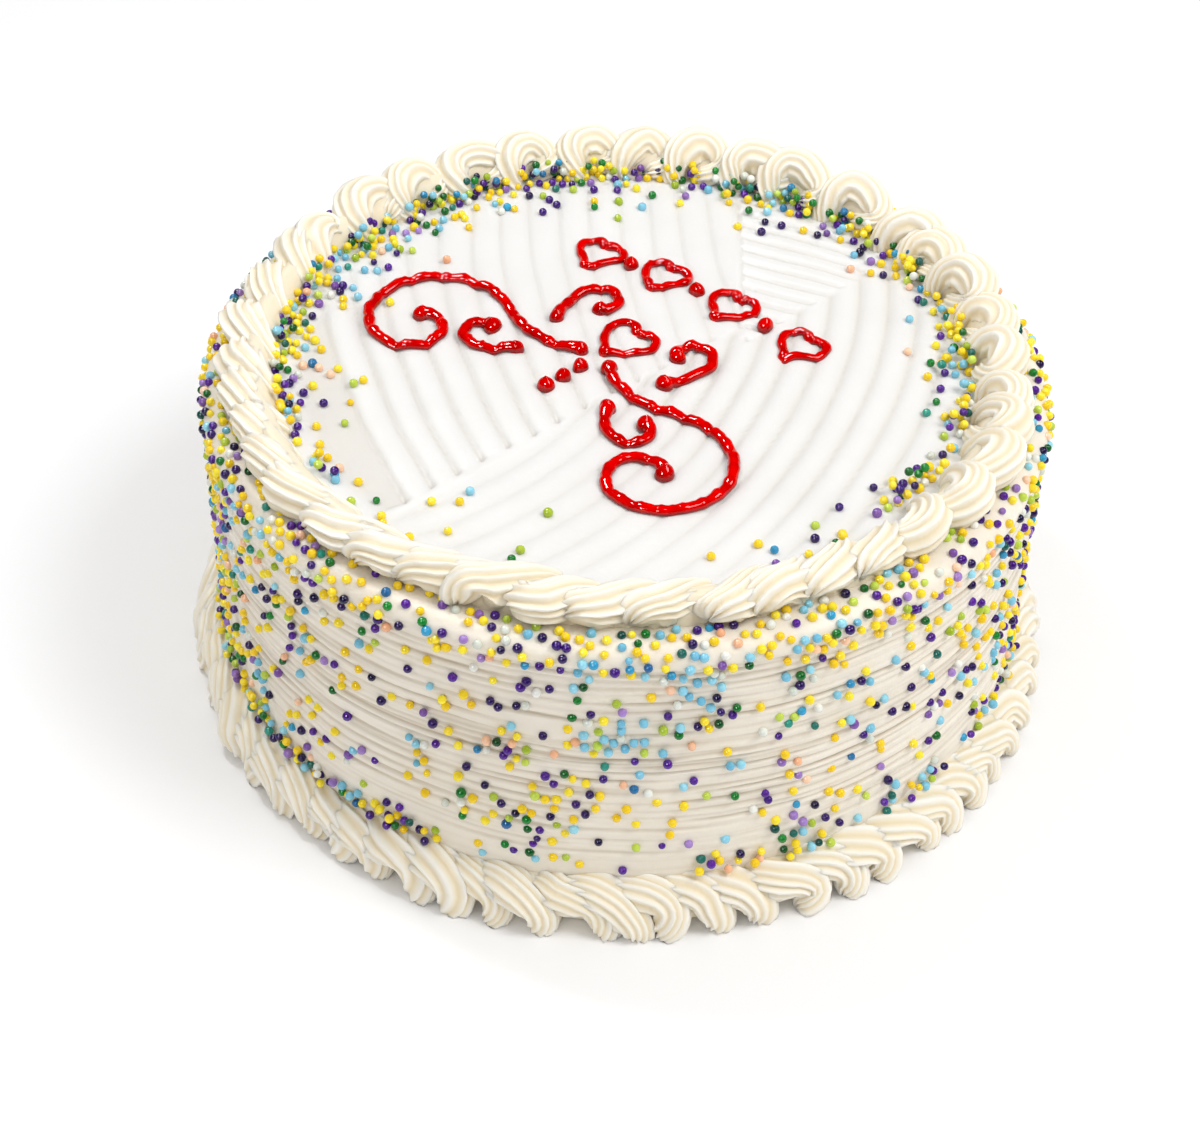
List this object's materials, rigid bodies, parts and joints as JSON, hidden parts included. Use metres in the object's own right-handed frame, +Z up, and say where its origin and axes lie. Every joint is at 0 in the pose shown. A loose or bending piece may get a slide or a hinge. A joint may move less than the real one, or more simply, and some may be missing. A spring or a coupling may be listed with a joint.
{
  "type": "birthday cake",
  "caption": "Round white buttercream birthday cake with ropes of piped shells round its top and foot, sugar pearls, and a red piped ornament of scrolls and hearts.",
  "frame": {"origin": "centre of the base, on the surface that the cake stands on", "axes": "+Z up along the cake's axis, +X to the right and +Y to the back of the side shown"},
  "size_m": [0.2498, 0.2498, 0.1065],
  "materials": {
    "buttercream": "combed white buttercream, soft satin",
    "piped_buttercream": "piped ivory-white buttercream, soft satin",
    "red_piping_gel": "wet glossy red piping gel",
    "yellow_pearls": "polished yellow sugar pearls",
    "purple_pearls": "polished purple sugar pearls",
    "green_pearls": "polished green sugar pearls",
    "blue_pearls": "polished light blue sugar pearls",
    "lime_pearls": "polished lime sugar pearls",
    "peach_pearls": "polished peach sugar pearls",
    "lilac_pearls": "polished lilac sugar pearls",
    "white_pearls": "polished pale sugar pearls"
  },
  "bodies": {
    "root": {"cake_body": "buttercream", "top_border": "piped_buttercream", "foot_border": "piped_buttercream", "scroll_stem_right": "red_piping_gel", "scroll_stem_left": "red_piping_gel", "scroll_low_curl_right": "red_piping_gel", "scroll_low_curl_left": "red_piping_gel", "scroll_high_curl_right": "red_piping_gel", "scroll_high_curl_left": "red_piping_gel", "scroll_heart": "red_piping_gel", "scroll_dot_1": "red_piping_gel", "scroll_dot_2": "red_piping_gel", "scroll_dot_3": "red_piping_gel", "heart_1": "red_piping_gel", "heart_2": "red_piping_gel", "heart_3": "red_piping_gel", "heart_4": "red_piping_gel", "heart_row_dot_1": "red_piping_gel", "heart_row_dot_2": "red_piping_gel", "heart_row_dot_3": "red_piping_gel"}
  },
  "joints": []
}
